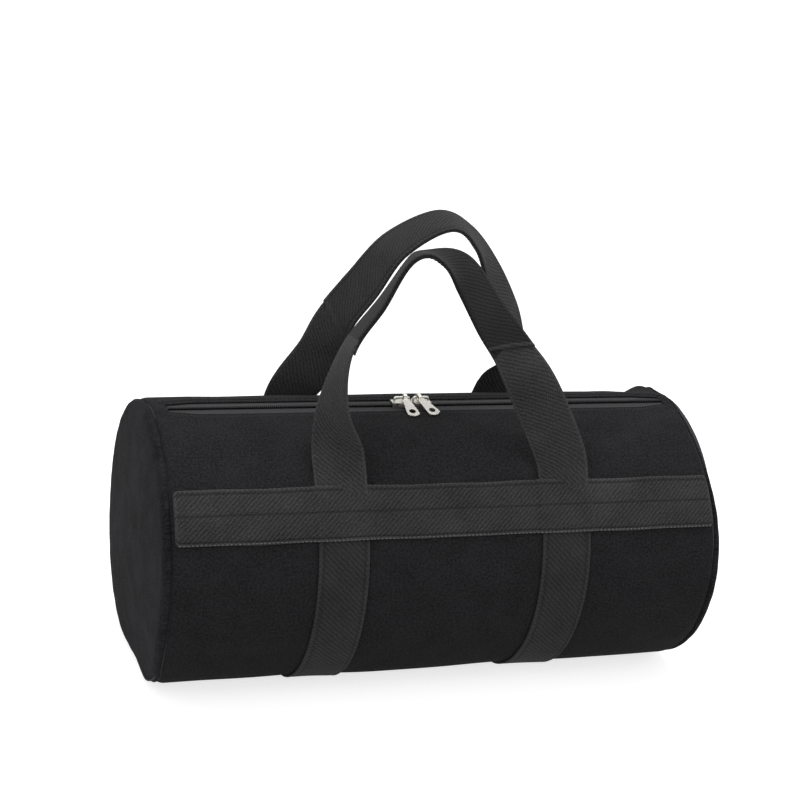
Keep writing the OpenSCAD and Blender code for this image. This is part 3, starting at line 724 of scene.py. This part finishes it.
def tape_finish(name, dark, light):
    """Woven polyester zip tape: a fine herringbone of smooth threads, 1.2 mm wide, with a faint shine."""
    made, tree, flat, _ = cloth_material(name)
    axes = add(tree, "ShaderNodeSeparateXYZ", {0: flat})
    fold = maths(tree, "PINGPONG", axes.outputs["Y"], 1.6)
    slant = maths(tree, "ADD", axes.outputs["X"], fold)
    wave = maths(tree, "SINE", maths(tree, "MULTIPLY", slant, 2 * math.pi / 1.2))
    tone = maths(tree, "MULTIPLY_ADD", wave, 0.15, noise(tree, flat, 0.3, 3.0).outputs["Fac"])
    cloth = mixed(tree, tone, linear(dark), linear(light))
    bump = add(tree, "ShaderNodeBump", {"Height": wave, "Strength": 0.35, "Distance": 0.0002})
    surface(tree, {
        "Base Color": cloth, "Roughness": 0.7, "Normal": bump.outputs[0],
        "Specular IOR Level": 0.25, "Sheen Weight": 0.05,
    })
    return made


zip_weave = tape_finish("zip_weave", "#18181a", "#2b2b2e")
for side, name, node in ((-1, "front_tape_cloth", "front_zip_tape"), (1, "rear_tape_cloth", "rear_zip_tape")):
    xs = np.linspace(-TAPE_HALF_L, TAPE_HALF_L, 60)
    across, high, flat_v = strap_section(TAPE_W / 2, TAPE_T, 12, 3)
    y = TAPE_GAP / 2 + TAPE_W / 2 + across
    radius = TAPE_TOP_R - TAPE_T + high
    z = AXIS_HEIGHT + np.sqrt(radius**2 - y**2)
    points = np.stack(np.broadcast_arrays(xs[:, None], side * y[None, :], z[None, :]), -1)
    flat = np.stack(np.broadcast_arrays((-side * xs)[:, None], flat_v[None, :]), -1)
    tape = mesh_object(name, points, close_ends(grid_faces(len(xs), len(across), True), len(xs), len(across)), flat)
    if side < 0:
        tape.data.flip_normals()
    tape.data.materials.append(zip_weave)
    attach(tape, "bag")
    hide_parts(node)

# ---- Zip coils ----
# Two coils of nylon wire whose flattened turns mesh over the middle. They part round the necks of the two
# sliders, which stand nose to nose.
MEET_X, NOSE_GAP, SLIDER_L = -12.0, 1.5, 15.5
SHOULDER, WAIST = 0.27, 0.66  # shares of a slider's length
CHAIN_HALF_L, CHAIN_HALF_W, CHAIN_H, PART_Y = 209.4, 2.8, 2.2, 2.0
COIL_Z = AXIS_HEIGHT + TAPE_TOP_R + 0.1


def coil_finish(name):
    """Nylon monofilament, drawn and then dyed black: smooth, with soft highlights along each turn."""
    made, tree = new_material(name)
    solid = add(tree, "ShaderNodeTexCoord").outputs["Object"]
    cloud = noise(tree, solid, 400.0, 3.0).outputs["Fac"]
    rough = ranged(tree, cloud, 0.0, 1.0, 0.32, 0.5)
    tint = mixed(tree, cloud, linear("#0c0c0d"), linear("#1b1b1d"))
    bump = add(tree, "ShaderNodeBump", {"Height": cloud, "Strength": 0.2, "Distance": 0.00005})
    surface(tree, {
        "Base Color": tint, "Roughness": rough, "Normal": bump.outputs[0], "Specular IOR Level": 0.3, "IOR": 1.53,
    })
    return made


def coil_tree():
    """Lays one flattened turn of the coil at every step of a line."""
    sizes = {"Turn width": 0.0009, "Turn reach": 0.0035, "Turn height": 0.0021}
    tree, given = laying_tree("zip_coil", sizes, "Coil")
    ball = add(tree, "GeometryNodeMeshUVSphere", {"Segments": 8, "Rings": 6, "Radius": 0.5})
    points = add(tree, "GeometryNodeMeshToPoints", {"Mesh": given["Line"]})
    lay_balls(tree, given, "Coil", points.outputs[0], ball, sizes)
    return tree


nylon = coil_finish("nylon_coil")
COIL = coil_tree()
TURN_STEP, TURN_REACH = 1.6, CHAIN_HALF_W + 0.7
for side, name, node, shift in (
    (-1, "front_coil_turns", "front_zip_coil", 0.0), (1, "rear_coil_turns", "rear_zip_coil", 0.5),
):
    xs = np.arange(-CHAIN_HALF_L + 1 + shift * TURN_STEP, CHAIN_HALF_L - 1, TURN_STEP)
    # Pushed out in full from a slider's nose to its shoulder, and not at all past its waist
    past = np.abs(xs - MEET_X) - NOSE_GAP / 2 - SLIDER_L * SHOULDER
    part = PART_Y * np.clip(1 - past / (SLIDER_L * (WAIST - SHOULDER)), 0, 1)
    y = side * (CHAIN_HALF_W - TURN_REACH / 2 + part)
    points = np.stack([xs, y, np.full(len(xs), COIL_Z + CHAIN_H / 2)], -1)
    coil = laid_along(name, points, [], COIL, {"Turn reach": TURN_REACH / 1000, "Finish": nylon})
    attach(coil, "bag")
    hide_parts(node)


# ---- Sliders and pull tabs ----
# Die-cast zinc, barrelled smooth and plated with bright nickel. The CAD solids are the shown pieces.
def nickel(name, shade, worn_shade):
    """Bright nickel plate over die-cast zinc: mirror-like but softened by tumbling, with a warm tint, fine
    scratches and duller patches where hands rub it."""
    made, tree = new_material(name)
    solid = add(tree, "ShaderNodeTexCoord").outputs["Object"]
    patch = noise(tree, solid, 260.0, 4.0).outputs["Fac"]
    streak = add(tree, "ShaderNodeMapping", {"Vector": solid, "Scale": (2600, 300, 2600)})
    scratch = noise(tree, streak.outputs[0], 1.0, 2.0).outputs["Fac"]
    rough = ranged(tree, patch, 0.0, 1.0, 0.16, 0.42)
    tint = mixed(tree, patch, linear(shade), linear(worn_shade))
    bump = add(tree, "ShaderNodeBump", {"Height": scratch, "Strength": 0.12, "Distance": 0.00006})
    surface(tree, {"Base Color": tint, "Metallic": 1.0, "Roughness": rough, "Normal": bump.outputs[0]})
    return made


slider_nickel = nickel("slider_nickel", "#dcdad4", "#b4b2aa")
pull_nickel = nickel("pull_nickel", "#e8e6e0", "#c4c2ba")
for node, finish in (
    ("left_slider", slider_nickel), ("right_slider", slider_nickel),
    ("left_pull_tab", pull_nickel), ("right_pull_tab", pull_nickel),
):
    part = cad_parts[node]
    part.data.materials.clear()
    part.data.materials.append(finish)

# ---- Handles ----
# Each handle is two lengths of 40 mm webbing. Every leg comes up from under a band's top edge, and over the grip
# the two lengths lie on each other, sewn together near both edges, with the left leg's length outside. They
# stand by their own stiffness, twisted as they were left.
HINGE_Y, HINGE_Z, RISE = 83.47, 189.64, 170.0
HANDLE_T, PLY_GAP = 1.6, 0.15
# How far below the hinge and how far above it, along a leg, the points low and high lie
BEND_REACH = (-3, 12)
# Middle line from the left leg to the right: across as a share of the straps' distance, up as a share of the
# rise, in as a share of the lean, and the twist in degrees
FRONT_LINE = (
    (-1, 0, 0, 0), (-1.03, 0.11, 0.27, 21), (-1.09, 0.33, 0.48, 71), (-1, 0.59, 0.68, 100),
    (-0.74, 0.79, 0.87, 106), (-0.5, 0.99, 0.99, 110), (-0.28, 1, 0.99, 91), (-0.03, 0.93, 0.91, 52),
    (0.24, 0.73, 0.81, 40), (0.47, 0.57, 0.64, 30), (0.72, 0.36, 0.46, -4), (0.96, 0.11, 0.27, -10), (1, 0, 0, 0),
)
REAR_LINE = (
    (-1, 0, 0, 0), (-0.935, 0.11, 0.22, 12), (-0.76, 0.28, 0.41, 29), (-0.67, 0.48, 0.66, 62),
    (-0.48, 0.66, 0.86, 67), (-0.23, 0.86, 0.97, 78), (0.19, 0.98, 1, 84), (0.49, 0.89, 0.95, 73),
    (0.74, 0.69, 0.85, 55), (0.97, 0.49, 0.7, 54), (1.09, 0.28, 0.49, 39), (1.03, 0.11, 0.22, 10), (1, 0, 0, 0),
)
# Row at which a leg's foot, which lies under the band, runs into the leg, and how far the foot runs below row 0
FOOT_ROW, FOOT_BELOW = 0.9, 0.6
# Degrees from the band's top edge down to the foot's end
FOOT_DROP = 8.5
grip_rows = (-16.4, 16.4)
handle_twill = webbing("handle_twill", "#202021", "#454546", STRAP_HALF_W, 2.9)
grip_twill = webbing("grip_twill", "#1f1f20", "#3c3c3d", STRAP_HALF_W, 2.9, grip_rows)
# The front grip takes a darker copy of the grip webbing, with less contrast between its ribs: painted shade, where that
# face turns down and away from the light
painted_shade_grip_twill = webbing("painted_shade_grip_twill", "#121213", "#282829", STRAP_HALF_W, 2.9, grip_rows)


def unit(v):
    return v / np.linalg.norm(v, axis=-1, keepdims=True)


def handle_rows(line, side, lean):
    """Rows of a handle in millimetres, with one more past each end that keeps the ends square to the band."""
    line = np.array(line)
    ends = [(b[0], 2 * a[1] - b[1], 2 * a[2] - b[2], -b[3]) for a, b in ((line[0], line[1]), (line[-1], line[-2]))]
    x, high, inward, twist = np.vstack([ends[0], line, ends[1]]).T
    return np.stack([x * STRAP_X, side * (HINGE_Y - inward * lean), HINGE_Z + high * RISE, twist], -1)


def handle_frame(rows, at):
    """Middle, direction across and direction along the webbing at row numbers at."""
    first = np.clip(at.astype(int), 0, len(rows) - 4)
    t = (at - first)[..., None]
    a, b, c, d = (rows[first + k] for k in range(4))
    bend, turn = 2 * a - 5 * b + 4 * c - d, 3 * b - a - 3 * c + d
    here = (2 * b + (c - a) * t + bend * t * t + turn * t**3) / 2
    heading = unit((c - a + 2 * bend * t + 3 * turn * t * t)[..., :3])
    level = unit(np.array([0, 1, 0]) - heading[..., 1:2] * heading)
    twist = np.radians(here[..., 3:4])
    return here[..., :3], np.cos(twist) * np.cross(heading, level) + np.sin(twist) * level, heading


def led(share, start, leave, end, arrive):
    """Point and slope of a curve that leaves one point along a direction and arrives at another along one."""
    s2, s3 = share**2, share**3
    place = (2 * s3 - 3 * s2 + 1) * start + (s3 - 2 * s2 + share) * leave + (3 * s2 - 2 * s3) * end + (s3 - s2) * arrive
    slope = (6 * s2 - 6 * share) * (start - end) + (3 * s2 - 4 * share + 1) * leave + (3 * s2 - 2 * share) * arrive
    return place, unit(slope)


def leg_frame(rows, at, side):
    """As handle_frame, with the foot of each leg led down under the band."""
    last = len(rows) - 3
    here, across, heading = handle_frame(rows, np.clip(at, FOOT_ROW, last - FOOT_ROW))
    for end, row in ((-1, FOOT_ROW), (1, last - FOOT_ROW)):
        share = ((at if end < 0 else last - at) + FOOT_BELOW) / (FOOT_ROW + FOOT_BELOW)
        low_angle = BAND_TOP - FOOT_DROP + np.array([0, 0.5])
        low = on_barrel(end * STRAP_X, low_angle if side < 0 else 180 - low_angle, GAP + HANDLE_T / 2)
        up_surface = unit(low[1] - low[0])
        top, top_across, top_heading = (v[0] for v in handle_frame(rows, np.array([row], float)))
        reach = np.linalg.norm(top - low[0])
        t = np.clip(share, 0, 1)[..., None]
        foot, slope = led(t, low[0], reach * up_surface, top, -end * reach * top_heading)
        level = (1 - t) * np.array([end, 0, 0]) + t * top_across
        in_foot = (share < 1)[..., None]
        here = np.where(in_foot, foot, here)
        heading = np.where(in_foot, slope * -end, heading)
        across = np.where(in_foot, unit(level - (level * slope).sum(-1, keepdims=True) * slope), across)
    return here, across, heading


def webbing_along(rows, side, stations, skew, lift, name):
    """Webbing swept along a handle. skew moves its two edges apart along the handle, and lift moves it off the
    handle's own middle along its face. Both have one number for each station."""
    across, high, flat_v = strap_section(STRAP_HALF_W, HANDLE_T, 16, 4)
    at = stations[:, None] + skew[:, None] * across[None, :] / STRAP_HALF_W
    here, sideways, heading = leg_frame(rows, at, side)
    face = np.cross(heading, sideways)
    cup = 0.5 * (1 - (across / STRAP_HALF_W) ** 2)
    off_face = high[None, :] - HANDLE_T / 2 + cup[None, :] + lift[:, None]
    points = here + across[None, :, None] * sideways + off_face[..., None] * face
    steps = np.linspace(-FOOT_BELOW, len(rows) - 3 + FOOT_BELOW, 600)
    middle = leg_frame(rows, steps, side)[0]
    run = np.concatenate([[0], np.cumsum(np.linalg.norm(np.diff(middle, axis=0), axis=-1))])
    flat_u = np.interp(at, steps, run)
    flat = np.stack([flat_u, np.broadcast_to(flat_v, flat_u.shape)], -1)
    faces = close_ends(grid_faces(len(stations), len(across), True), len(stations), len(across))
    return mesh_object(name, points, faces, flat)


# Lean towards the zip, and for each length of webbing the row where it is cut on the grip and the skew of the cut
for side, handle, line, lean, left_end, left_skew, right_start, right_skew in (
    (-1, "front_handle", FRONT_LINE, 28, 8.85, 0.35, 3.1, 0.12),
    (1, "rear_handle", REAR_LINE, 35, 8.95, 0.1, 2.88, 0.16),
):
    rows = handle_rows(line, side, lean)
    last = len(line) - 1
    right_lift = side * (HANDLE_T + PLY_GAP)
    for leg, end, stations, cut, skew, lift in (
        ("left", -1, np.linspace(-FOOT_BELOW, left_end, 211), left_end, left_skew, 0.0),
        ("right", 1, np.linspace(right_start, last + FOOT_BELOW, 211), right_start, right_skew, right_lift),
    ):
        near_cut = eased(np.clip(1 - np.abs(stations - cut) / 1.2, 0, 1))
        on_grip = np.clip((left_end + 1.0 - stations) / 0.9, 0, 1) if end > 0 else np.ones(len(stations))
        name = f"{handle}_webbing_{leg}"
        strap = webbing_along(rows, side, stations, skew * near_cut, lift * eased(on_grip), name)
        strap.data.materials.append(handle_twill)
        # The front handle's grip gets the darker copy of the webbing: painted shade
        strap.data.materials.append(painted_shade_grip_twill if side < 0 else grip_twill)
        ring = len(strap.data.vertices) // len(stations)
        doubled = (stations > right_start + 0.1) & (stations < left_end - 0.1)
        index = np.zeros(len(strap.data.polygons), int)
        index[: (len(stations) - 1) * ring] = np.repeat(doubled[:-1], ring)
        strap.data.polygons.foreach_set("material_index", index)
        root = np.array([STRAP_X * end, side * HINGE_Y, HINGE_Z])
        along_leg = unit(np.array([0, -side * 0.34, 0.94]))
        low, high = ((root + reach * along_leg) / 1000 for reach in BEND_REACH)
        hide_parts(f"{handle}_{leg}")
        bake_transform(strap)
    stations = np.linspace(right_start + 0.2, left_end - 0.3, 140)
    here, across, heading = leg_frame(rows, stations, side)
    face = np.cross(heading, across)
    outer, inner = (HANDLE_T / 2 + PLY_GAP) * -side, right_lift + (HANDLE_T / 2 - PLY_GAP) * side
    lines = [here + v * across + lift * face for lift in (outer, inner) for v in grip_rows]
    sew(f"{handle}_grip_stitches", lines, black_thread, handle)

low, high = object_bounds()
